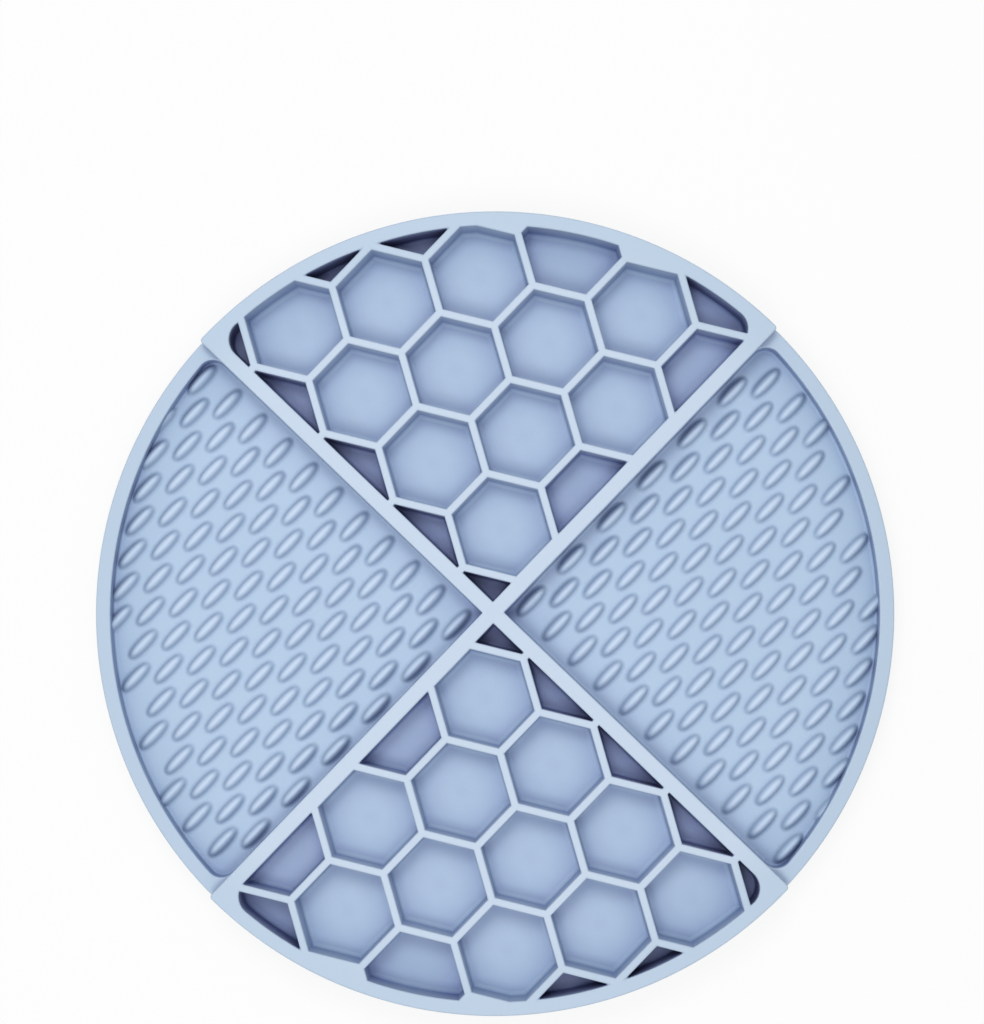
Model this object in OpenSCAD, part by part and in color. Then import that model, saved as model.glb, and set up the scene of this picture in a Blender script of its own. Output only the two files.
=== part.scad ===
// Round silicone lick mat: two honeycomb sectors and two trays of rice-grain nubs,
// parted by a cross of dividers on a thin round web, with suction cups underneath.
// The origin is the middle of the plane that the cups' lips stand on, and +Z is up.
// Each sector is drawn as the quarter between +X and +Y, then turned to its place.

/* [Mat] */
// Outer radius of the mat
mat_r = 100; // [95:0.5:105]
// Thickness of the web, the floor of every cell and tray
web_t = 2; // [1.5:0.1:3]
// Height of the dividers, the cell walls and the tall rims above the web
tall_h = 8; // [6:0.5:10]
// Height of the low rims above the web
low_h = 4; // [3:0.5:6]

/* [Dividers] */
// Width of the two dividers that cross in the middle
divider_w = 3.8; // [3.2:0.1:4.2]

/* [Honeycomb] */
// Width of the tall rim round a honeycomb sector
tall_rim_w = 3.5; // [3:0.1:5]
// Rounding of the corners where the tall rim meets the dividers
tall_corner_r = 5; // [3:0.5:7]
// Distance from one cell's centre to the next
cell_pitch = 24.1; // [23:0.1:25]
// Thickness of the walls between the cells
cell_wall = 1.9; // [1.4:0.1:2.6]
// First cell's centre, from the middle of the divider that its row runs along
first_cell_row = 16.9; // [16.5:0.1:17.5]
// First cell's centre, from the middle of the other divider
first_cell_gap = 13.25; // [12.75:0.05:13.75]
// Least depth that a cell cut by the rim or a divider is still opened for
least_cell = 2.5; // [2.3:0.1:3]

/* [Nub trays] */
// Width of the low rim round a nub tray
low_rim_w = 3.5; // [2.5:0.1:5]
// Rounding of the corners where the low rim meets the dividers
low_corner_r = 4; // [3:0.5:6]
// Length of a nub
nub_l = 10; // [8:0.1:10.5]
// Width of a nub, which stands half as high
nub_w = 3.8; // [3:0.1:4.4]
// Radius of a nub's rounded ends
nub_end_r = 0.9; // [0.6:0.05:1.1]
// Distance between the nubs of a row, side by side
nub_pitch = 8.94; // [8.4:0.02:9.4]
// Distance between the rows, along the nubs
nub_row_step = 7.3; // [7:0.02:8]
// First row's middle line, from the middle of the divider that the rows run along
first_nub_row = 8.75; // [8:0.05:9]
// First nub's middle line, from the middle of the divider that the nubs run along
first_nub_gap = 4.8; // [4.5:0.01:5.2]
// Furthest that a nub's end may run into the rim before the nub is left out
nub_bite = 2.4; // [2:0.1:2.8]

/* [Suction cups] */
// Height of the cups below the web
cup_h = 4; // [3:0.5:6]
// Radius of a cup's lip
cup_lip_r = 10; // [8:0.5:12]
// Radius of a cup's neck, where it leaves the web
cup_neck_r = 6; // [4:0.5:7]
// Thickness of the lip at its edge
cup_lip_t = 0.8; // [0.5:0.1:1.2]
// Width of the flat ring that the lip stands on
cup_face_w = 1; // [0.6:0.1:1.5]
// Depth of the hollow in a cup
cup_hollow = 2; // [1.5:0.1:2.5]
// Number of cups in the inner ring
inner_cups = 4; // [3:1:6]
// Radius of the inner ring of cups
inner_ring_r = 38; // [34:1:44]
// Number of cups in the outer ring
outer_cups = 8; // [6:1:10]
// Radius of the outer ring of cups
outer_ring_r = 78; // [72:1:82]

/* [Hidden] */
INNER_CUPS = [for (i = [1:inner_cups]) str("inner_suction_cup_", i)];
OUTER_CUPS = [for (i = [1:outer_cups]) str("outer_suction_cup_", i)];

// Turns that take the quarter to its sector
right_turn = -45;
rear_turn = 45;
left_turn = 135;
front_turn = 225;

// Every cut runs past what it cuts by this much
overrun = 1;
// A corner's rounding crosses the faces that it joins by this much
corner_bite = 0.3;
// A nub's side leaves the rounding of its end this far round, in degrees
nub_side_turn = 9;

divider_half = divider_w / 2;
web_z = cup_h;
floor_z = web_z + web_t;
tall_rim_r = mat_r - tall_rim_w;
low_rim_r = mat_r - low_rim_w;

// A cell's opening is a hexagon with two corners towards +X and -X
cell_side_r = (cell_pitch - cell_wall) / 2;
cell_corner_r = cell_side_r / cos(30);
cell_row_step = cell_pitch * cos(30);
cell_rows = ceil(mat_r / cell_row_step);
cells_in_row = ceil(mat_r / cell_pitch);

// A cell is opened where it reaches far enough past both dividers and inside the rim
function cell_shows(c) =
    c[0] + cell_corner_r > divider_half + least_cell
    && c[1] + cell_side_r > divider_half + least_cell
    && norm(c) - cell_corner_r < tall_rim_r - least_cell;

// Centres of the opened cells: rows along the divider on +Y, every other one set back by half a pitch
cell_centres = [
    for (row = [-1:cell_rows])
        for (place = [-1:cells_in_row])
            let (set_back = abs(row % 2) / 2)
            let (c = [
                first_cell_row + row * cell_row_step,
                first_cell_gap + (place - set_back) * cell_pitch
            ])
            if (cell_shows(c)) c
];

nub_half_l = nub_l / 2;
nub_half_w = nub_w / 2;
nub_rows = ceil(mat_r / nub_row_step);
nubs_in_row = ceil(mat_r / nub_pitch);

function nub_tip_r(c) = norm([c[0], c[1] + nub_half_l]);

// Centres of the nubs: rows along the divider on +X, every other one set on by half a pitch
nub_centres = [
    for (row = [0:nub_rows])
        for (place = [0:nubs_in_row])
            let (set_on = (row % 2) / 2)
            let (c = [
                first_nub_gap + (place + set_on) * nub_pitch,
                first_nub_row + row * nub_row_step
            ])
            if (nub_tip_r(c) < low_rim_r + nub_bite) c
];

// The side of a nub is an arc through its widest point and a point on its end's rounding
nub_end_y = nub_half_l - nub_end_r;
nub_meet = [nub_end_r * cos(nub_side_turn), nub_end_y + nub_end_r * sin(nub_side_turn)];
nub_side_dip = nub_half_w - nub_meet[0];
nub_side_r = (nub_side_dip * nub_side_dip + nub_meet[1] * nub_meet[1]) / (2 * nub_side_dip);

// The hollow of a cup is part of a ball through its crown and the lip's inner edge
cup_mouth_r = cup_lip_r - cup_face_w;
cup_ball_r = (cup_mouth_r * cup_mouth_r + cup_hollow * cup_hollow) / (2 * cup_hollow);

mat_color = [0.70, 0.79, 0.88];
divider_color = [0.80, 0.86, 0.92];
cell_color = [0.74, 0.82, 0.90];
nub_color = [0.78, 0.86, 0.93];
cup_color = [0.62, 0.72, 0.84];

$fn = 180;

// The quarter between the faces of two dividers, out to a radius
module quarter(r) {
    intersection() {
        translate([divider_half, divider_half]) square(r);
        circle(r = r);
    }
}

// What rounds the corner between the divider on +X and the rim
module corner_fill(rim_r, corner_r) {
    centre_r = rim_r - corner_r + corner_bite;
    centre_y = divider_half + corner_r - corner_bite;
    centre = [sqrt(centre_r * centre_r - centre_y * centre_y), centre_y];
    outward = centre / centre_r;
    difference() {
        polygon([
            centre,
            [centre[0], divider_half - overrun],
            [rim_r + overrun, divider_half - overrun],
            centre + outward * (corner_r + overrun)
        ]);
        translate(centre) circle(r = corner_r, $fn = 72);
    }
}

// The open part of a sector, inside its rim
module open_quarter(rim_r, corner_r) {
    difference() {
        quarter(rim_r);
        corner_fill(rim_r, corner_r);
        mirror([1, -1]) corner_fill(rim_r, corner_r);
    }
}

module rim(rim_r, corner_r, h) {
    translate([0, 0, floor_z]) linear_extrude(h) difference() {
        quarter(mat_r);
        open_quarter(rim_r, corner_r);
    }
}

module tall_rim(turn) {
    color(mat_color) rotate(turn) rim(tall_rim_r, tall_corner_r, tall_h);
}

module low_rim(turn) {
    color(mat_color) rotate(turn) rim(low_rim_r, low_corner_r, low_h);
}

// Cell walls of one sector: its open part with the cells cut out
module honeycomb(turn) {
    color(cell_color) rotate(turn) translate([0, 0, floor_z]) linear_extrude(tall_h) difference() {
        open_quarter(tall_rim_r, tall_corner_r);
        for (c = cell_centres) translate(c) circle(r = cell_corner_r, $fn = 6);
    }
}

// Half the outline of a nub, from its axis outwards
module nub_outline() {
    cut_y = nub_end_y + nub_end_r / 2;
    intersection() {
        translate([nub_half_w - nub_side_r, 0]) circle(r = nub_side_r, $fn = 180);
        translate([0, -cut_y]) square([nub_w, 2 * cut_y]);
    }
    intersection() {
        for (side = [-1, 1]) translate([0, side * nub_end_y]) circle(r = nub_end_r, $fn = 36);
        translate([0, -nub_l]) square([nub_w, 2 * nub_l]);
    }
}

// A nub is half a spindle that lies along Y on the web
module nub() {
    rotate([90, 0, 0]) rotate_extrude(angle = 180, $fn = 36) nub_outline();
}

// Nubs of one tray: those that reach the rim are cut to the tray
module nubs(turn) {
    color(nub_color) rotate(turn) translate([0, 0, floor_z]) for (c = nub_centres) {
        if (nub_tip_r(c) < low_rim_r - nub_half_w) translate(c) nub();
        else intersection() {
            translate(c) nub();
            linear_extrude(nub_w) open_quarter(low_rim_r, low_corner_r);
        }
    }
}

module base_web() {
    color(mat_color) translate([0, 0, web_z]) cylinder(h = web_t, r = mat_r);
}

module divider_cross() {
    color(divider_color) translate([0, 0, floor_z]) linear_extrude(tall_h) intersection() {
        circle(r = mat_r);
        union() {
            for (turn = [right_turn, rear_turn]) rotate(turn) square([2 * mat_r + overrun, divider_w], center = true);
        }
    }
}

module suction_cup(ring_r, turn) {
    color(cup_color) rotate(turn) translate([ring_r, 0, 0]) rotate_extrude($fn = 96) difference() {
        polygon([
            [0, 0],
            [cup_lip_r, 0],
            [cup_lip_r, cup_lip_t],
            [cup_neck_r, cup_h],
            [0, cup_h]
        ]);
        translate([0, cup_hollow - cup_ball_r]) circle(r = cup_ball_r);
    }
}

base_web();
divider_cross();
honeycomb(rear_turn);  // rear_honeycomb
honeycomb(front_turn);  // front_honeycomb
tall_rim(rear_turn);  // rear_tall_rim
tall_rim(front_turn);  // front_tall_rim
nubs(left_turn);  // left_nubs
nubs(right_turn);  // right_nubs
low_rim(left_turn);  // left_low_rim
low_rim(right_turn);  // right_low_rim
for (i = [1:inner_cups])
    suction_cup(inner_ring_r, i * 360 / inner_cups);
for (i = [1:outer_cups])
    suction_cup(outer_ring_r, (i - 1 / 2) * 360 / outer_cups);
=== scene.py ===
"""Round silicone lick mat, dressed over its CAD solids.

Lengths in this file are millimetres unless a name says otherwise; make() turns them into metres.
A sector is drawn as the quarter between +X and +Y and then turned to its place, as in the CAD."""
import math

import bpy
import numpy as np
from mathutils import Euler, Matrix, Vector
from mathutils.geometry import delaunay_2d_cdt


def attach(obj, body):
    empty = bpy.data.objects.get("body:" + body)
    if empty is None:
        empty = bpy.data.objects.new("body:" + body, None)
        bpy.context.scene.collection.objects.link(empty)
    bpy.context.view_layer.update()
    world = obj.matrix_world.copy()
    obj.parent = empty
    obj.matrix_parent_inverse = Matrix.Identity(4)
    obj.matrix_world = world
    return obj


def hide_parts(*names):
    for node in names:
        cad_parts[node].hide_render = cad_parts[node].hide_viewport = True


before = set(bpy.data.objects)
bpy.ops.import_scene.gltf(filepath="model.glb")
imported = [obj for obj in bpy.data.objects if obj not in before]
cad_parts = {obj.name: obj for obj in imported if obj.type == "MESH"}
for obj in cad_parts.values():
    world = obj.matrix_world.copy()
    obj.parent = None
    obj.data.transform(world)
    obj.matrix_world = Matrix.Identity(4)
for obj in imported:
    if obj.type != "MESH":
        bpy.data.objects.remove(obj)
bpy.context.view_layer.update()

MM = 0.001

# Heights
WEB_Z = 4.0
FLOOR_Z = 6.0
LOW_Z = 10.0
TOP_Z = 14.0

# The mat's plan
MAT_R = 100.0
DIVIDER_HALF = 1.9
TALL_RIM_R = 96.5
TALL_CORNER_R = 5.0
LOW_RIM_R = 96.5
LOW_CORNER_R = 4.0
TURNS = {"rear": 45, "left": 135, "front": 225, "right": -45}

# Cells
CELL_SIDE_R = 11.1
CELL_PITCH = 24.1
CELL_ROW_STEP = CELL_PITCH * math.cos(math.radians(30))
CELL_GRID = range(-1, 6)  # rows, and places in a row, that may hold a cell
FIRST_CELL = (16.9, 13.25)
LEAST_CELL = 2.5
HEXAGON = range(30, 390, 60)  # directions of a cell's sides

# Nubs
NUB_PITCH = 8.94
NUB_ROW_STEP = 7.3
NUB_ROWS_TRIED, NUB_PLACES_TRIED = 15, 13
FIRST_NUB = (4.8, 8.75)
NUB_REACH_R = 98.9
NUB_HALF_L = 5.0

# How the moulding softens its edges
EDGE = 0.45  # rounding of every top edge
SLOPE = 0.03  # draft of the walls
FOOT_SHARE = 0.3  # hollow curve at the foot of a cell's walls, as a share of its depth in plan
MOST_DEPTH = 4.0  # a cell counts as no deeper than this, so its curve is 1.2 at most
DEPTH_STEP = 0.1
CORNER_R = 0.25  # rounding of a cell's upright corners
TRAY_FOOT = 0.7
WEB_EDGE = 0.5
END_R = 0.9  # rounding of the upright edges at the dividers' ends
FADE_LENGTH = 2.0  # over which a divider's draft fades out beside the low rim
APEX_R = 0.2  # rounding of a tray's corner at the middle of the mat

# How finely curves are drawn
CURVE_STEPS = 5
TALL_CORNER_POINTS, TALL_RIM_POINTS = 13, 61
LOW_CORNER_POINTS, LOW_RIM_POINTS = 17, 81
END_POINTS, APEX_POINTS = 7, 5
WEB_SPOKES, CUP_SPOKES = 360, 64
CUP_CURVE_STEPS, HOLLOW_STEPS = 6, 7
CORNER_STEP_DEG, LEAST_CORNER_DEG = 15, 20  # a corner that turns by less gets no steps
SHORTEST_STEP_DEG = 0.2
SIDE_TWIST_DEG = 0.03  # apart enough to find both ends of a straight side
SAME_POINT = 1e-6
PLATE_EPSILON = 1e-5  # nearness at which the corners of a flat face merge

# Pieces meet on the flat tops and inside the dividers, where it doesn't show
SEAM = 0.7  # from a divider's middle line to the cross's seam with a honeycomb sector
SEAM_R = 97.5  # seam of a honeycomb and its tall rim
SUNK = 0.6  # from a divider's middle line to the end of a low rim

# Suction cups
CUP_LIP_R = 10.0
CUP_LIP_T = 0.8
CUP_FACE_W = 1.0
CUP_NECK_R = 6.0
CUP_HOLLOW = 2.0
INNER_RING_R, INNER_CUPS = 38.0, 4
OUTER_RING_R, OUTER_CUPS = 78.0, 8


class Shell:
    """Faces with a normal of their own at each corner, gathered into one mesh."""

    def __init__(self):
        self.points, self.index, self.faces, self.normals = [], {}, [], []

    def vertex(self, p):
        key = (round(float(p[0]), 4), round(float(p[1]), 4), round(float(p[2]), 4))
        if key not in self.index:
            self.index[key] = len(self.points)
            self.points.append(key)
        return self.index[key]

    def face(self, points, normals):
        """Adds a face wound the way its normals point, unless its corners fall together."""
        ids = [self.vertex(p) for p in points]
        kept = [k for k in range(len(ids)) if ids[k] != ids[k - 1]]
        if len({ids[k] for k in kept}) < 3:
            return
        p = np.array([self.points[ids[k]] for k in kept])
        across = np.cross(p, np.roll(p, -1, axis=0)).sum(axis=0)
        if across @ np.sum([normals[k] for k in kept], axis=0) < 0:
            kept.reverse()
        self.faces.append([ids[k] for k in kept])
        self.normals.extend(tuple(normals[k]) for k in kept)

    def flat(self, points, normal):
        self.face(points, [normal] * len(points))

    def skin(self, rings, closed=False):
        """Quads between each ring and the next; a ring is its points and their normals."""
        for (p, m), (q, n) in zip(rings, rings[1:]):
            for k in range(len(p) if closed else len(p) - 1):
                j = (k + 1) % len(p)
                self.face([p[k], p[j], q[j], q[k]], [m[k], m[j], n[j], n[k]])

    def plate(self, loops, z, up):
        """A flat face at height z, inside the first outline and outside the others."""
        flat = np.concatenate(loops)
        edges, start = [], 0
        for loop in loops:
            edges += [(start + k, start + (k + 1) % len(loop)) for k in range(len(loop))]
            start += len(loop)
        made = delaunay_2d_cdt([Vector(p) for p in flat], edges, [], 0, PLATE_EPSILON, True)
        points = np.array([flat[ids[0]] for ids in made[3]])
        triangles = np.array(made[2])
        middle = points[triangles].mean(axis=1)[:, None]
        inside = np.zeros(len(middle), bool)
        for loop in loops:
            a = np.asarray(loop)
            b = np.roll(a, -1, axis=0)
            rise = np.where(a[:, 1] == b[:, 1], 1, b[:, 1] - a[:, 1])
            spans = (a[:, 1] > middle[..., 1]) != (b[:, 1] > middle[..., 1])
            cut_x = a[:, 0] + (b[:, 0] - a[:, 0]) * (middle[..., 1] - a[:, 1]) / rise
            inside ^= ((spans & (middle[..., 0] < cut_x)).sum(axis=1) % 2).astype(bool)
        for triangle in triangles[inside]:
            self.flat([(*points[k], z) for k in triangle], (0, 0, up))

    def repeated(self, centres):
        """This shell once at each centre."""
        made = Shell()
        points, normals = np.array(self.points), list(self.normals)
        for k, c in enumerate(centres):
            made.points += (points + (c[0], c[1], 0)).tolist()
            made.faces += [[i + k * len(points) for i in f] for f in self.faces]
            made.normals += normals
        return made


def make(name, shell, turn, node, material=None):
    """The shell as a piece that stands for a CAD node."""
    c, s = math.cos(math.radians(turn)), math.sin(math.radians(turn))
    spin = np.array([[c, s, 0], [-s, c, 0], [0, 0, 1]])
    mesh = bpy.data.meshes.new(name)
    mesh.from_pydata((np.array(shell.points) @ spin * MM).tolist(), [], shell.faces)
    mesh.shade_smooth()
    mesh.normals_split_custom_set((np.array(shell.normals) @ spin).tolist())
    mesh.materials.append(material or silicone)
    piece = bpy.data.objects.new(name, mesh)
    bpy.context.collection.objects.link(piece)
    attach(piece, "root")
    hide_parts(node)


def turned(angles):
    """Unit vectors at these angles in degrees."""
    a = np.radians(angles)
    return np.stack([np.cos(a), np.sin(a)], axis=1)


def lifted(points, z):
    return np.column_stack([points, np.full(len(points), z)])


def leaning(directions, side, up):
    return np.column_stack([directions * side, np.full(len(directions), up)])


def profile(z0, z1, foot, edge, slope):
    """A wall from z0 up to z1, as rows of how far it stands out, its height, and its normal's part
    outwards and upwards. It has a hollow curve at its foot and a round edge on top."""
    turn = np.radians(np.linspace(0, 90, CURVE_STEPS + 1))
    rows = []
    low, high = slope * (TOP_Z - z0 - foot), slope * (TOP_Z - z1 + edge)
    if foot:
        for t in turn:
            out, z = low + foot * (1 - math.sin(t)), z0 + foot * (1 - math.cos(t))
            rows.append((out, z, math.sin(t), math.cos(t)))
    else:
        rows.append((low, z0, 1, 0))
    for t in turn:
        out, z = high - edge * (1 - math.cos(t)), z1 - edge * (1 - math.sin(t))
        rows.append((out, z, math.cos(t), math.sin(t)))
    return rows


def rim_corner(rim_r, corner_r):
    """Centre of the rounded corner where a rim meets the divider along +X, and the angle at which
    the corner's arc gives way to the rim's."""
    y = DIVIDER_HALF + corner_r
    x = math.sqrt((rim_r - corner_r) ** 2 - y**2)
    return (x, y), math.degrees(math.atan2(y, x))


def honeycomb_core(inset):
    """Outline of a honeycomb sector's inside, drawn in by inset: a convex polygon."""
    centre, lean = rim_corner(TALL_RIM_R, TALL_CORNER_R)
    corner = turned(np.linspace(-90, lean, TALL_CORNER_POINTS)) * (TALL_CORNER_R - inset) + centre
    rim = turned(np.linspace(lean, 90 - lean, TALL_RIM_POINTS)[1:-1]) * (TALL_RIM_R - inset)
    apex = np.array([[DIVIDER_HALF + inset] * 2])
    return np.concatenate([apex, corner, rim, corner[::-1, ::-1]])


def clipped(polygon, normal, reach):
    """The part of a convex polygon on the near side of a line."""
    kept = []
    for p, q in zip(polygon, np.roll(polygon, -1, axis=0)):
        a, b = p @ normal - reach, q @ normal - reach
        if a <= 0:
            kept.append(p)
        if (a < 0 < b) or (b < 0 < a):
            kept.append(p + (q - p) * (a / (a - b)))
    return np.array(kept)


def cell_core(centre, inset):
    """A cell's outline drawn in by inset, or None where nothing is left of it."""
    outline = honeycomb_core(inset)
    for normal in turned(HEXAGON):
        if len(outline) < 3:
            return None
        outline = clipped(outline, normal, normal @ np.array(centre) + CELL_SIDE_R - inset)
    return outline if len(outline) > 2 else None


def support(core, angles):
    """The furthest point of a convex outline in each direction."""
    return core[np.argmax(core @ turned(angles).T, axis=0)]


def cell_angles(centre, insets):
    """The directions that trace a cell's outline: both ends of every side, every point of an arc,
    and a few round each corner. They serve for all outlines between the two insets."""
    _, lean = rim_corner(TALL_RIM_R, TALL_CORNER_R)
    corner = np.linspace(-90, lean, TALL_CORNER_POINTS)
    arcs = [*corner, *np.linspace(lean, 90 - lean, TALL_RIM_POINTS), *(90 - corner)]
    twists = (-SIDE_TWIST_DEG, SIDE_TWIST_DEG)
    sides = [side + twist for side in (*HEXAGON, 180, 270) for twist in twists]
    angles = np.unique(np.round(np.mod(arcs + sides, 360), 6))
    stays = np.ones(len(angles), bool)
    for inset in insets:
        far = support(cell_core(centre, inset), angles)
        stays &= np.linalg.norm(np.roll(far, -1, axis=0) - far, axis=1) < SAME_POINT
    kept = np.flatnonzero(~(stays & np.roll(stays, 1)))
    traced = []
    for k, after in zip(kept, np.roll(kept, -1)):
        traced.append(angles[k])
        turn = (angles[after] - angles[k]) % 360
        if stays[k] and turn > LEAST_CORNER_DEG:
            steps = np.linspace(0, turn, math.ceil(turn / CORNER_STEP_DEG) + 1)
            traced += list(angles[k] + steps[1:-1])
    return np.array(traced)


def cell_centres():
    """Centres of the opened cells, by the CAD's own rule."""
    corner_r = CELL_SIDE_R / math.cos(math.radians(30))
    found = []
    for row in CELL_GRID:
        for place in CELL_GRID:
            x = FIRST_CELL[0] + row * CELL_ROW_STEP
            y = FIRST_CELL[1] + (place - (row % 2) / 2) * CELL_PITCH
            if (
                x + corner_r > DIVIDER_HALF + LEAST_CELL
                and y + CELL_SIDE_R > DIVIDER_HALF + LEAST_CELL
                and math.hypot(x, y) - corner_r < TALL_RIM_R - LEAST_CELL
            ):
                found.append((x, y))
    return found


def cell_foot(centre):
    """Radius of the hollow curve round a cell's floor, which is less in a small cell."""
    depth = 0.0
    while depth < MOST_DEPTH and cell_core(centre, depth + DEPTH_STEP) is not None:
        depth += DEPTH_STEP
    return FOOT_SHARE * depth


def rim_arc(radius, cut):
    """Points and directions along a circle from the line y = cut to the line x = cut. Between them
    they lie on whole degrees, so that neighbouring pieces share them."""
    start = math.degrees(math.asin(cut / radius))
    first = 1 + math.floor(start + SHORTEST_STEP_DEG)
    directions = turned([start, *range(first, 91 - first), 90 - start])
    return directions * radius, directions


def honeycomb():
    shell = Shell()
    seam, _ = rim_arc(SEAM_R, SEAM)
    outline = np.concatenate([[(SEAM, SEAM)], seam])
    tops, feet = [outline], [outline]
    for centre in cell_centres():
        rows = profile(FLOOR_Z, TOP_Z, cell_foot(centre), EDGE, SLOPE)
        angles = cell_angles(centre, (rows[-1][0] + CORNER_R, rows[0][0] + CORNER_R))
        outward = turned(angles)
        rings = []
        for out, z, side, up in rows:
            points = support(cell_core(centre, out + CORNER_R), angles) + outward * CORNER_R
            rings.append((lifted(points, z), leaning(outward, -side, up)))
        shell.skin(rings, closed=True)
        feet.append(rings[0][0][:, :2])
        tops.append(rings[-1][0][:, :2])
    shell.plate(tops, TOP_Z, 1)
    shell.plate(feet, FLOOR_Z, -1)
    for k in range(len(outline)):
        a, b = outline[k - 1], outline[k]
        normal = np.array([b[1] - a[1], a[0] - b[0], 0]) / math.dist(a, b)
        shell.flat([(*a, FLOOR_Z), (*b, FLOOR_Z), (*b, TOP_Z), (*a, TOP_Z)], normal)
    return shell


def tall_rim():
    shell = Shell()
    outer = []
    for out, z, side, up in profile(FLOOR_Z, TOP_Z, 0, EDGE, 0):
        points, outward = rim_arc(MAT_R + out, SEAM)
        outer.append((lifted(points, z), leaning(outward, side, up)))
    points, outward = rim_arc(SEAM_R, SEAM)
    low, high = lifted(points, FLOOR_Z), lifted(points, TOP_Z)
    inward, upward = leaning(outward, -1, 0), leaning(outward, 0, 1)
    shell.skin(outer)
    shell.skin([(low, inward), (high, inward)])
    shell.skin([(high, upward), (outer[-1][0], upward)])
    shell.skin([(low, -upward), (outer[0][0], -upward)])
    for end, normal in ((0, (0, -1, 0)), (-1, (-1, 0, 0))):
        shell.flat([low[end], *[ring[end] for ring, _ in outer], high[end]], normal)
    return shell


def low_rim():
    shell = Shell()
    centre, lean = rim_corner(LOW_RIM_R, LOW_CORNER_R)
    corner = turned(np.linspace(-90, lean, LOW_CORNER_POINTS))
    rim = turned(np.linspace(lean, 90 - lean, LOW_RIM_POINTS)[1:-1])
    tray_outward = np.concatenate([corner, rim, corner[::-1, ::-1]])
    inner, outer = [], []
    for out, z, side, up in profile(FLOOR_Z, LOW_Z, TRAY_FOOT, EDGE, SLOPE):
        path = corner * (LOW_CORNER_R - out) + centre
        points = np.concatenate([path, rim * (LOW_RIM_R - out), path[::-1, ::-1]])
        inner.append((lifted(points, z), leaning(tray_outward, -side, up)))
    for out, z, side, up in profile(FLOOR_Z, LOW_Z, 0, EDGE, 0):
        points, outward = rim_arc(MAT_R + out, SUNK)
        outer.append((lifted(points, z), leaning(outward, side, up)))
    shell.skin(inner)
    shell.skin(outer)
    ends = np.array([(SUNK, centre[0]), (centre[0], SUNK)])
    for k, z, up in ((0, FLOOR_Z, -1), (-1, LOW_Z, 1)):
        loop = [inner[k][0][:, :2], ends[:1], outer[k][0][::-1, :2], ends[1:]]
        shell.plate([np.concatenate(loop)], z, up)
    minus_x, minus_y = (-1, 0, 0), (0, -1, 0)
    arm_sides = ((0, ends[1], minus_x, minus_y), (-1, ends[0], minus_y, minus_x))
    for k, place, across, along in arm_sides:
        low, high = (*place, FLOOR_Z), (*place, LOW_Z)
        shell.flat([low, *[ring[k] for ring, _ in inner], high], across)
        shell.flat([low, *[ring[k] for ring, _ in outer], high], along)
    return shell


def tray_side(drawn_in, spread):
    """The cross's outline along one tray, from the seam at the end of one arm to that of the other.
    drawn_in moves all of it into the cross, and spread moves what faces the tray out of it."""
    (fade, _), _ = rim_corner(LOW_RIM_R, LOW_CORNER_R)
    edge_y = DIVIDER_HALF - END_R
    edge_x = math.sqrt((MAT_R - END_R) ** 2 - edge_y**2)
    lean = math.degrees(math.atan2(edge_y, edge_x))
    start = -math.degrees(math.asin(SEAM / (MAT_R - drawn_in)))
    end = turned([start, 0, lean])
    edge = turned(np.linspace(lean, 90, END_POINTS)[1:])
    points = [end * (MAT_R - drawn_in), edge * (END_R - drawn_in) + (edge_x, edge_y)]
    facing = DIVIDER_HALF - drawn_in
    points.append([(fade + FADE_LENGTH, facing), (fade, facing + spread)])
    outward = [end, edge, [(0, 1), (0, 1)]]
    apex = turned(np.linspace(270, 225, APEX_POINTS))
    out = spread - drawn_in
    held = max(APEX_R, out)
    points.append(apex * (held - out) + DIVIDER_HALF + held)
    outward.append(-apex)
    points, outward = np.concatenate(points), np.concatenate(outward)
    return (
        np.concatenate([points, points[-2::-1, ::-1]]),
        np.concatenate([outward, outward[-2::-1, ::-1]]),
    )


def divider_cross():
    """Drawn with the right tray as its quarter between +X and +Y."""
    shell = Shell()
    rows = profile(FLOOR_Z, TOP_Z, TRAY_FOOT, EDGE, SLOPE)
    first_round = len(rows) - CURVE_STEPS - 1
    upright_ends = END_POINTS + 3  # points at each end of a side that lie beyond the tray
    sides = []
    for k, (out, z, side, up) in enumerate(rows):
        lean = out if k < first_round else SLOPE * EDGE
        points, outward = tray_side(lean - out, lean)
        normals = leaning(outward, side, up)
        if k < first_round:
            # The arms' ends stand upright where the sides curve into the floor
            upright = leaning(outward, 1, 0)
            normals[:upright_ends] = upright[:upright_ends]
            normals[-upright_ends:] = upright[-upright_ends:]
        sides.append((lifted(points, z), normals))
    halves = [[(p * (s, s, 1), n * (s, s, 1)) for p, n in sides] for s in (1, -1)]
    inner_corners = [(-SEAM, SEAM), (SEAM, -SEAM)]
    for k, (rings, corner) in enumerate(zip(halves, inner_corners)):
        shell.skin(rings)
        low, high = (*corner, FLOOR_Z), (*corner, TOP_Z)
        x_side, y_side = np.sign(corner)
        shell.flat([low, *[p[-1] for p, _ in rings], high], (x_side, 0, 0))
        shell.flat([low, *[p[0] for p, _ in halves[1 - k]], high], (0, y_side, 0))
    for k, z, up in ((0, FLOOR_Z, -1), (-1, TOP_Z, 1)):
        outline = []
        for rings, corner in zip(halves, inner_corners):
            outline += [rings[k][0][:, :2], [corner]]
        shell.plate([np.concatenate(outline)], z, up)
    return shell


def revolved(shell, rows, spokes, centre=(0, 0)):
    """Turns rows of radius, height and normal (outward, upward) round an upright axis."""
    outward = turned(np.arange(spokes) * 360 / spokes)
    rings = [
        (lifted(outward * r + centre, z), leaning(outward, side, up)) for r, z, side, up in rows
    ]
    shell.skin(rings, closed=True)


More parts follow.
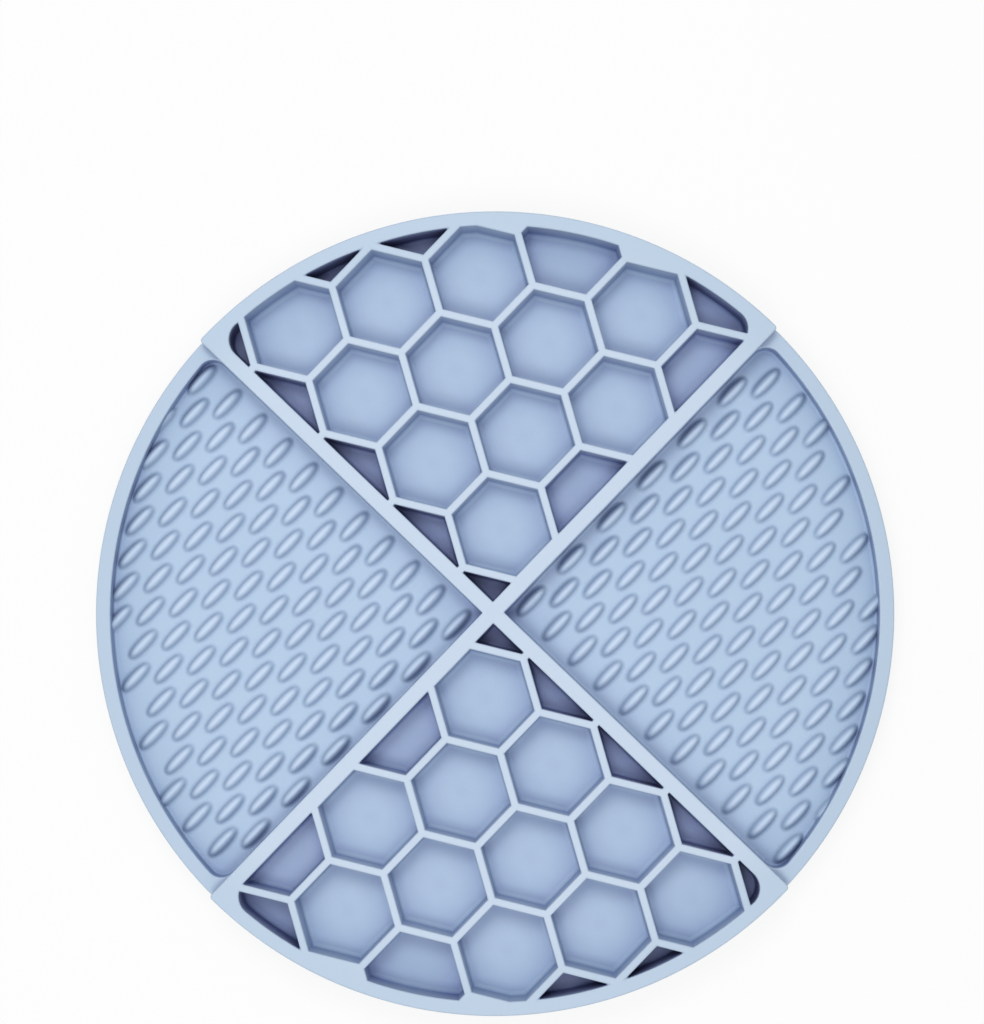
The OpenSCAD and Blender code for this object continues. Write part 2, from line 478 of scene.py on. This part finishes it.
def web():
    shell = Shell()
    rows = [(r, FLOOR_Z, 0, 1) for r in (0, MAT_R / 3, MAT_R * 2 / 3, MAT_R)]
    rows.append((MAT_R, FLOOR_Z, 1, 0))
    for t in np.radians(np.linspace(0, 90, CURVE_STEPS + 1)):
        r, z = MAT_R - WEB_EDGE * (1 - math.cos(t)), WEB_Z + WEB_EDGE * (1 - math.sin(t))
        rows.append((r, z, math.cos(t), -math.sin(t)))
    rows += [(r, WEB_Z, 0, -1) for r in (MAT_R * 2 / 3, MAT_R / 3, 0)]
    revolved(shell, rows, WEB_SPOKES)
    return shell


# A nub from its foot to its ridge: half its width, half its length and its height
NUB_ROWS = (
    (2.45, 5.45, 0.00),
    (2.12, 5.15, 0.06),
    (1.82, 4.86, 0.22),
    (1.58, 4.58, 0.50),
    (1.37, 4.25, 0.88),
    (1.14, 3.82, 1.24),
    (0.90, 3.30, 1.55),
    (0.66, 2.70, 1.79),
    (0.43, 2.05, 1.95),
    (0.21, 1.40, 2.03),
    (0.00, 0.80, 2.05),
)
NUB_SPOKES = 28
NUB_FULLNESS = 2.3  # 2 is an ellipse seen from above, and more is squarer


def nub():
    turn = np.linspace(0, 2 * math.pi, NUB_SPOKES, endpoint=False)
    x, y = (np.sign(w) * np.abs(w) ** (2 / NUB_FULLNESS) for w in (np.cos(turn), np.sin(turn)))
    rings = [
        np.column_stack([a * x, b * y, np.full(NUB_SPOKES, FLOOR_Z + z)]) for a, b, z in NUB_ROWS
    ]
    normals = [np.zeros((NUB_SPOKES, 3)) for _ in rings]
    after = np.roll(np.arange(NUB_SPOKES), -1)
    for k in range(len(rings) - 1):
        low, high = rings[k], rings[k + 1]
        across = np.cross(low[after] - high, high[after] - low)
        for ring in (k, k + 1):
            normals[ring] += across
            normals[ring][after] += across
    # The foot runs into the floor, and the ridge is a line that both flanks share
    for ring in (0, -1):
        normals[ring][:] = (0, 0, 1)
    normals = [n / np.linalg.norm(n, axis=1)[:, None] for n in normals]
    shell = Shell()
    shell.skin(list(zip(rings, normals)), closed=True)
    shell.flat(rings[0], (0, 0, -1))
    return shell


def nub_centres():
    """Centres of one tray's nubs, by the CAD's own rule."""
    found = []
    for row in range(NUB_ROWS_TRIED):
        for place in range(NUB_PLACES_TRIED):
            x = FIRST_NUB[0] + (place + (row % 2) / 2) * NUB_PITCH
            y = FIRST_NUB[1] + row * NUB_ROW_STEP
            if math.hypot(x, y + NUB_HALF_L) < NUB_REACH_R:
                found.append((x, y))
    return found


def rounded(corners):
    """Rows for revolved() along a line of (radius, height, rounding), with the air on its right.
    A rounding of None leaves a corner as it is, with one normal."""
    points = np.array([c[:2] for c in corners], float)
    headings = np.degrees(np.arctan2(*np.diff(points, axis=0).T[::-1]))
    rows = []
    for k, (x, z, rounding) in enumerate(corners):
        before, after = headings[max(k - 1, 0)], headings[min(k, len(headings) - 1)]
        bend = (after - before + 180) % 360 - 180
        if rounding is None:
            side, up = turned([before + bend / 2 - 90])[0]
            rows.append((x, z, side, up))
            continue
        back = rounding * math.tan(math.radians(abs(bend) / 2))
        start = points[k] - turned([before])[0] * back
        sign = math.copysign(1, bend)
        middle = start + sign * turned([before + 90])[0] * rounding
        for t in np.linspace(0, 1, CUP_CURVE_STEPS + 1):
            side, up = turned([before + bend * t - 90])[0]
            rows.append((*(middle + sign * rounding * np.array([side, up])), side, up))
    return rows


def cup(centre):
    """A suction cup: a hollow of one ball's curve, a flat ring to stand on, a thin lip, a neck."""
    face_r = CUP_LIP_R - CUP_FACE_W
    ball_r = (face_r**2 + CUP_HOLLOW**2) / (2 * CUP_HOLLOW)
    reach = math.degrees(math.asin(face_r / ball_r))
    hollow = [
        (ball_r * x, CUP_HOLLOW - ball_r + ball_r * z, None)
        for z, x in turned(np.linspace(0, reach, HOLLOW_STEPS + 1)[:-1])
    ]
    outside = [
        (face_r, 0, 1.0),
        (CUP_LIP_R, 0, 0.35),
        (CUP_LIP_R, CUP_LIP_T, 0.4),
        (CUP_NECK_R, WEB_Z, 0.5),
        (CUP_NECK_R + 2, WEB_Z, None),
    ]
    rows = rounded(hollow + outside)
    # The hollow starts level on the axis. The last corner is there to bend the neck into the web,
    # and a flat top closes the cup instead.
    rows[0] = (0, CUP_HOLLOW, 0, -1)
    rows.pop()
    rows += [(rows[-1][0], WEB_Z, 0, 1), (0, WEB_Z, 0, 1)]
    shell = Shell()
    revolved(shell, rows, CUP_SPOKES, centre)
    return shell


# The silicone. Colours are linear, and each tint multiplies the tone
# Painted light and shade by height: TOP_TONE and NUB_TONE, on the raised tops and the nubs' ridges,
# are paler than WEB_TONE on the low web, as top light falls more on what is raised
TOP_TONE = (0.567, 0.676, 0.815)
NUB_TONE = (0.588, 0.715, 0.895)
WEB_TONE = (0.470, 0.600, 0.775)
# Painted shade: darker towards the outer edge, where the light falls off
RIM_FALLOFF_SHADE = (0.88, 0.91, 0.93)
RIM_FALLOFF_SHADE_M = (0.080, 0.098)  # radii where this painted shade starts and is full
# Painted shade on upright walls, which get less of the top light
WALL_SHADE = (0.80, 0.81, 0.86)
LEVEL_ENOUGH = 0.9  # upward part of the normal where the painted shade of the walls has gone
CLOUD_TINT = (0.975, 0.98, 0.985)
CLOUDS_PER_M, GRAINS_PER_M = 38.0, 1500.0
GLOSS_RANGE = (0.42, 0.56)
GRAIN_STRENGTH, GRAIN_M = 0.12, 0.00008
SHADE_REACH_M = 0.014  # how far off a wall painted shade still darkens a spot
WHITE = (1, 1, 1)


def silicone_material(name, top_tone, tone_heights_m, painted_shade_tints):
    """Satin silicone: fine grain and a faint unevenness of its own, with painted light and shade:
    paler with height, from the low web up to the raised tops, and painted shade on upright walls,
    towards the rim and where little light gets in. The painted shade tints run from shut in to
    open."""
    material = bpy.data.materials.new(name)
    material.use_nodes = True
    nodes, links = material.node_tree.nodes, material.node_tree.links
    shader = nodes["Principled BSDF"]
    shader.inputs["IOR"].default_value = 1.42
    shader.inputs["Specular IOR Level"].default_value = 0.4

    def node(kind, **values):
        made = nodes.new(kind)
        for key, value in values.items():
            if key in made.inputs:
                made.inputs[key].default_value = value
            else:
                setattr(made, key, value)
        return made

    def ramp(source, stops):
        made = node("ShaderNodeValToRGB")
        elements = made.color_ramp.elements
        while len(elements) < len(stops):
            elements.new(0.5)
        for element, (position, tint) in zip(elements, stops):
            element.position, element.color = position, (*tint, 1)
        links.new(source, made.inputs["Fac"])
        return made.outputs["Color"]

    def times(a, b):
        """Two colours multiplied, by the colour sockets of a mix node."""
        made = node("ShaderNodeMix", data_type="RGBA", blend_type="MULTIPLY")
        made.inputs[0].default_value = 1
        links.new(a, made.inputs[6])
        links.new(b, made.inputs[7])
        return made.outputs[2]

    def upward(source):
        """The Z part of a vector."""
        made = node("ShaderNodeSeparateXYZ")
        links.new(source, made.inputs[0])
        return made.outputs[2]

    def between(source, low, high):
        """Rises smoothly from 0 at low to 1 at high."""
        made = node("ShaderNodeMapRange", interpolation_type="SMOOTHSTEP")
        made.inputs["From Min"].default_value = low
        made.inputs["From Max"].default_value = high
        links.new(source, made.inputs["Value"])
        return made.outputs["Result"]

    texture = node("ShaderNodeTexCoord")
    place = texture.outputs["Object"]
    cloud = node("ShaderNodeTexNoise", Scale=CLOUDS_PER_M, Detail=3.0)
    grain = node("ShaderNodeTexNoise", Scale=GRAINS_PER_M, Detail=2.0)
    for noise in (cloud, grain):
        links.new(place, noise.inputs["Vector"])

    # Painted light and shade: the tone rises from WEB_TONE on the low web to the paler top tone
    # higher up
    tone = ramp(between(upward(place), *tone_heights_m), ((0, WEB_TONE), (1, top_tone)))
    # Painted shade, held in outer: darker towards the outer edge, standing in for the light falling
    # off there
    level = node("ShaderNodeVectorMath", operation="MULTIPLY")
    level.inputs[1].default_value = (1, 1, 0)
    links.new(place, level.inputs[0])
    radius = node("ShaderNodeVectorMath", operation="LENGTH")
    links.new(level.outputs["Vector"], radius.inputs[0])
    outer = ramp(between(radius.outputs["Value"], *RIM_FALLOFF_SHADE_M), ((0, WHITE), (1, RIM_FALLOFF_SHADE)))
    # Painted shade on walls, by how far the normal leans from upright
    facing_up = between(upward(texture.outputs["Normal"]), 0, LEVEL_ENOUGH)
    painted_wall_shade = ramp(facing_up, ((0, WALL_SHADE), (1, WHITE)))
    uneven = ramp(cloud.outputs["Fac"], ((0.3, CLOUD_TINT), (0.7, WHITE)))
    # Painted shade in hollows, corners and beside walls, from how much of the sky a spot sees
    occlusion = node("ShaderNodeAmbientOcclusion", Distance=SHADE_REACH_M, samples=8)
    shade = ramp(occlusion.outputs["AO"], painted_shade_tints)
    # uneven is the silicone's own tone; the other three tints are painted shade, on the rim, the
    # walls and the hollows
    colour = tone
    for tint in (uneven, outer, painted_wall_shade, shade):
        colour = times(colour, tint)
    links.new(colour, shader.inputs["Base Color"])

    rough = node("ShaderNodeMapRange")
    rough.inputs["To Min"].default_value, rough.inputs["To Max"].default_value = GLOSS_RANGE
    links.new(cloud.outputs["Fac"], rough.inputs["Value"])
    links.new(rough.outputs["Result"], shader.inputs["Roughness"])

    bump = node("ShaderNodeBump", Strength=GRAIN_STRENGTH, Distance=GRAIN_M)
    links.new(grain.outputs["Fac"], bump.inputs["Height"])
    links.new(bump.outputs["Normal"], shader.inputs["Normal"])
    return material


silicone = silicone_material(
    "pale_blue_satin_silicone",
    TOP_TONE,
    (0.006, 0.0115),
    # Painted shade tints, from shut in to open
    (
        (0.08, (0.22, 0.20, 0.33)),
        (0.17, (0.30, 0.29, 0.46)),
        (0.23, (0.44, 0.44, 0.66)),
        (0.28, (0.60, 0.59, 0.77)),
        (0.45, (0.76, 0.77, 0.86)),
        (0.60, (0.80, 0.81, 0.86)),
        (0.68, (0.90, 0.905, 0.925)),
        (0.75, (0.975, 0.98, 0.985)),
        (0.95, WHITE),
    ),
)
# The nubs' ridges are painted paler than their feet: a painted highlight along each ridge
nub_silicone = silicone_material(
    "pale_blue_satin_silicone_nubs",
    NUB_TONE,
    (0.0070, 0.0079),
    # Painted shade tints round the nubs' feet, from shut in to open
    (
        (0.10, (0.38, 0.38, 0.46)),
        (0.45, (0.67, 0.69, 0.73)),
        (0.70, (0.82, 0.83, 0.85)),
        (0.85, (0.95, 0.95, 0.97)),
        (0.95, WHITE),
    ),
)

# The pieces
make("web_body", web(), 0, "base_web")
make("divider_cross_body", divider_cross(), TURNS["right"], "divider_cross")
walls, tall, low = honeycomb(), tall_rim(), low_rim()
nub_field = nub().repeated(nub_centres())
for sector in ("rear", "front"):
    make(sector + "_honeycomb_body", walls, TURNS[sector], sector + "_honeycomb")
    make(sector + "_tall_rim_body", tall, TURNS[sector], sector + "_tall_rim")
for sector in ("left", "right"):
    make(sector + "_nub_field", nub_field, TURNS[sector], sector + "_nubs", nub_silicone)
    make(sector + "_low_rim_body", low, TURNS[sector], sector + "_low_rim")
for k in range(1, INNER_CUPS + 1):
    turn = k * 360 / INNER_CUPS
    make(f"inner_cup_body_{k}", cup((INNER_RING_R, 0)), turn, f"inner_suction_cup_{k}")
for k in range(1, OUTER_CUPS + 1):
    turn = (k - 0.5) * 360 / OUTER_CUPS
    make(f"outer_cup_body_{k}", cup((OUTER_RING_R, 0)), turn, f"outer_suction_cup_{k}")

# Floor, light and camera, in metres from here on
FLOOR_HALF_M = 3.0
FLOOR_TONE = 0.93
FLOOR_WHITE_SHARE = 0.85
WORLD_STRENGTH = 0.47
LAMP_X_M, LAMP_Z_M = -0.055, 0.6
LAMP_SIZE_M = (0.3, 0.24)
LAMPS = (("rear_softbox", 0.25, 1.32), ("front_softbox", -0.21, 1.14))  # name, y and watts

floor_mesh = bpy.data.meshes.new("floor")
floor_corners = ((-1, -1), (1, -1), (1, 1), (-1, 1))
floor_mesh.from_pydata(
    [(x * FLOOR_HALF_M, y * FLOOR_HALF_M, 0) for x, y in floor_corners], [], [(0, 1, 2, 3)]
)
floor = bpy.data.objects.new("floor", floor_mesh)
bpy.context.collection.objects.link(floor)


def white_seen(nodes, links, lit, own, share):
    """Mixes a shader with white, by a share, where the camera, a reflection or glass sees it."""
    path = nodes.new("ShaderNodeLightPath")
    seen = path.outputs["Is Camera Ray"]
    for name in ("Is Glossy Ray", "Is Transmission Ray"):
        both = nodes.new("ShaderNodeMath")
        both.operation = "MAXIMUM"
        links.new(seen, both.inputs[0])
        links.new(path.outputs[name], both.inputs[1])
        seen = both.outputs[0]
    part = nodes.new("ShaderNodeMath")
    part.operation = "MULTIPLY"
    part.inputs[1].default_value = share
    links.new(seen, part.inputs[0])
    mixed = nodes.new("ShaderNodeMixShader")
    links.new(part.outputs[0], mixed.inputs[0])
    links.new(lit, mixed.inputs[1])
    links.new(own, mixed.inputs[2])
    return mixed.outputs[0]


paint = bpy.data.materials.new("pale_floor")
paint.use_nodes = True
nodes, links = paint.node_tree.nodes, paint.node_tree.links
matt = nodes["Principled BSDF"]
matt.inputs["Base Color"].default_value = (FLOOR_TONE, FLOOR_TONE, FLOOR_TONE, 1)
matt.inputs["Roughness"].default_value = 0.9
matt.inputs["Specular IOR Level"].default_value = 0.1
white = nodes.new("ShaderNodeEmission")
shown = white_seen(nodes, links, matt.outputs[0], white.outputs[0], FLOOR_WHITE_SHARE)
links.new(shown, nodes["Material Output"].inputs["Surface"])
floor_mesh.materials.append(paint)

world = bpy.data.worlds.new("studio")
bpy.context.scene.world = world
world.use_nodes = True
nodes, links = world.node_tree.nodes, world.node_tree.links
sky = nodes["Background"]
sky.inputs["Color"].default_value = (1, 1, 1, 1)
sky.inputs["Strength"].default_value = WORLD_STRENGTH
white = nodes.new("ShaderNodeBackground")
white.inputs["Color"].default_value = (1, 1, 1, 1)
shown = white_seen(nodes, links, sky.outputs[0], white.outputs[0], 1.0)
links.new(shown, nodes["World Output"].inputs["Surface"])

for name, y, watts in LAMPS:
    lamp_data = bpy.data.lights.new(name, "AREA")
    lamp_data.shape = "RECTANGLE"
    lamp_data.size, lamp_data.size_y = LAMP_SIZE_M
    lamp_data.energy = watts
    lamp = bpy.data.objects.new(name, lamp_data)
    lamp.location = (LAMP_X_M, y, LAMP_Z_M)
    lamp.rotation_euler = (-Vector(lamp.location)).to_track_quat("-Z", "Y").to_euler()
    bpy.context.collection.objects.link(lamp)

# The photograph is taken from almost straight above, about half a metre over the tall walls
VIEW_HEIGHT_M = 0.5
VIEW_FROM_RIGHT_DEG = 1.2
VIEW_FROM_FRONT_DEG = 0.8
VIEW_ROLL_DEG = -1.1
LONG_SIDE_PX = 1024
PX_PER_M = 4027
MAT_BELOW_MIDDLE_PX = 100.6
MAT_RIGHT_OF_MIDDLE_PX = 1.1
camera_data = bpy.data.cameras.new("camera")
camera_data.sensor_width = 36
camera_data.lens = PX_PER_M * VIEW_HEIGHT_M / LONG_SIDE_PX * camera_data.sensor_width
camera_data.shift_y = MAT_BELOW_MIDDLE_PX / LONG_SIDE_PX
camera_data.shift_x = -MAT_RIGHT_OF_MIDDLE_PX / LONG_SIDE_PX
camera = bpy.data.objects.new("camera", camera_data)
tilt = (math.radians(VIEW_FROM_FRONT_DEG), math.radians(VIEW_FROM_RIGHT_DEG), 0)
view = Euler(tilt).to_matrix()
target = Vector((0, 0, TOP_Z * MM))
camera.location = target + view @ Vector((0, 0, VIEW_HEIGHT_M))
roll = Matrix.Rotation(math.radians(VIEW_ROLL_DEG), 3, "Z")
camera.rotation_euler = (view @ roll).to_euler()
bpy.context.collection.objects.link(camera)
bpy.context.scene.camera = camera
bpy.context.scene.view_settings.view_transform = "Standard"
